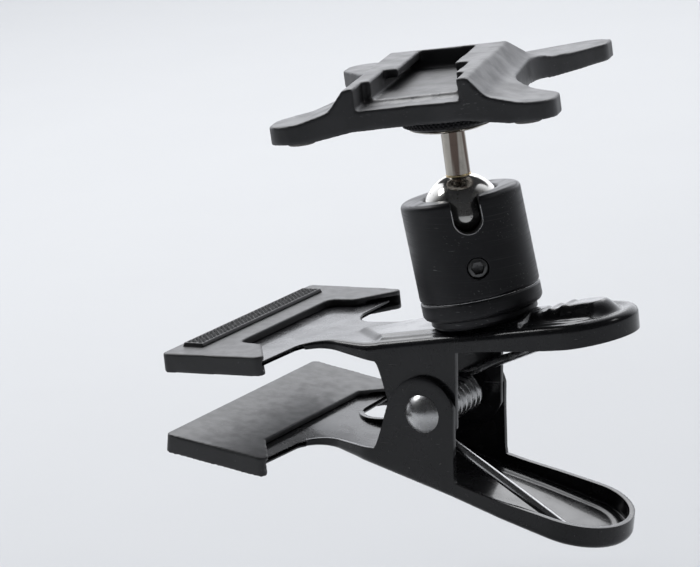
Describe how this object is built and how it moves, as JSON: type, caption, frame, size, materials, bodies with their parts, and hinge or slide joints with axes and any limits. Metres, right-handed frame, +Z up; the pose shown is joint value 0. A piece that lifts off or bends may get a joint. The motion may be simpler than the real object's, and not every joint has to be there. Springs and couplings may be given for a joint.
{
  "type": "clamp with ball head and shoe stand",
  "caption": "Spring clamp with rubber-padded wide jaws carrying a small ball head, knurled lock disc and a four-legged stand with an accessory shoe.",
  "frame": {"origin": "middle of the upper jaw pad's grip face, in the plane of the tabletop it rests on", "axes": "+X back from the jaws to the handles, +Y along the pivot rivet, +Z up from the tabletop towards the ball head"},
  "size_m": [0.1055, 0.0956, 0.1115],
  "materials": {
    "black_enamel": "gloss black enamel with small chips and scratches",
    "black_rubber": "satin moulded rubber",
    "zinc_rivet": "dull zinc plate",
    "spring_steel": "oiled spring wire",
    "black_anodised": "black anodised, finely turned",
    "black_steel": "blackened steel",
    "white_plastic": "smooth acetal",
    "chrome_ball": "polished chrome with light tarnish",
    "nickel_stem": "turned nickel plate",
    "black_moulding": "fine-grained moulded plastic, worn at the shoe",
    "brass_insert": "turned brass",
    "foot_rubber": "matt grey-brown rubber"
  },
  "bodies": {
    "clamp": {"upper_lever": "black_enamel", "upper_jaw_pad": "black_rubber", "pivot_rivet": "zinc_rivet", "torsion_spring": "spring_steel", "head_base": "black_anodised", "head_screw": "black_steel", "head_screw_washer": "zinc_rivet", "ball_seat": "white_plastic", "seat_spring": "spring_steel"},
    "lower_jaw": {"lower_lever": "black_enamel", "lower_jaw_pad": "black_rubber", "torsion_spring_lower_leg": "spring_steel"},
    "housing": {"ball_housing": "black_anodised", "housing_grub_screw": "black_steel"},
    "ball_stem": {"ball": "chrome_ball", "stem_stud": "nickel_stem"},
    "disc": {"lock_disc": "black_anodised"},
    "stand": {"stand_body": "black_moulding", "thread_insert": "brass_insert", "stand_foot_front_left": "foot_rubber", "stand_foot_front_right": "foot_rubber", "stand_foot_rear_left": "foot_rubber", "stand_foot_rear_right": "foot_rubber"}
  },
  "joints": [
    {"name": "jaw_open", "type": "hinge", "parent": "clamp", "child": "lower_jaw", "pos_m": [0.04, 0, -0.0124], "axis": [0, -1, 0], "range_deg": [-14.4, 40], "stiffness_Nm_per_rad": 0.1, "springref_deg": -28.65, "deforming": ["torsion_spring", "torsion_spring_lower_leg"]},
    {"name": "head_pan", "type": "hinge", "parent": "clamp", "child": "housing", "pos_m": [0.04847, 0, 0.03106], "axis": [-0.125, 0, 0.9922], "continuous": true},
    {"name": "ball_tilt", "type": "hinge", "parent": "housing", "child": "ball_stem", "pos_m": [0.04847, 0, 0.03106], "axis": [0.8242, 0.5652, 0.036], "range_deg": [-40, 38]},
    {"name": "disc_turn", "type": "hinge", "parent": "ball_stem", "child": "disc", "pos_m": [0.04847, 0, 0.03106], "axis": [-0.0436, 0, 0.999], "range_deg": [-180, 0]},
    {"name": "stand_swivel", "type": "hinge", "parent": "ball_stem", "child": "stand", "pos_m": [0.04847, 0, 0.03106], "axis": [-0.0436, 0, 0.999], "continuous": true}
  ]
}
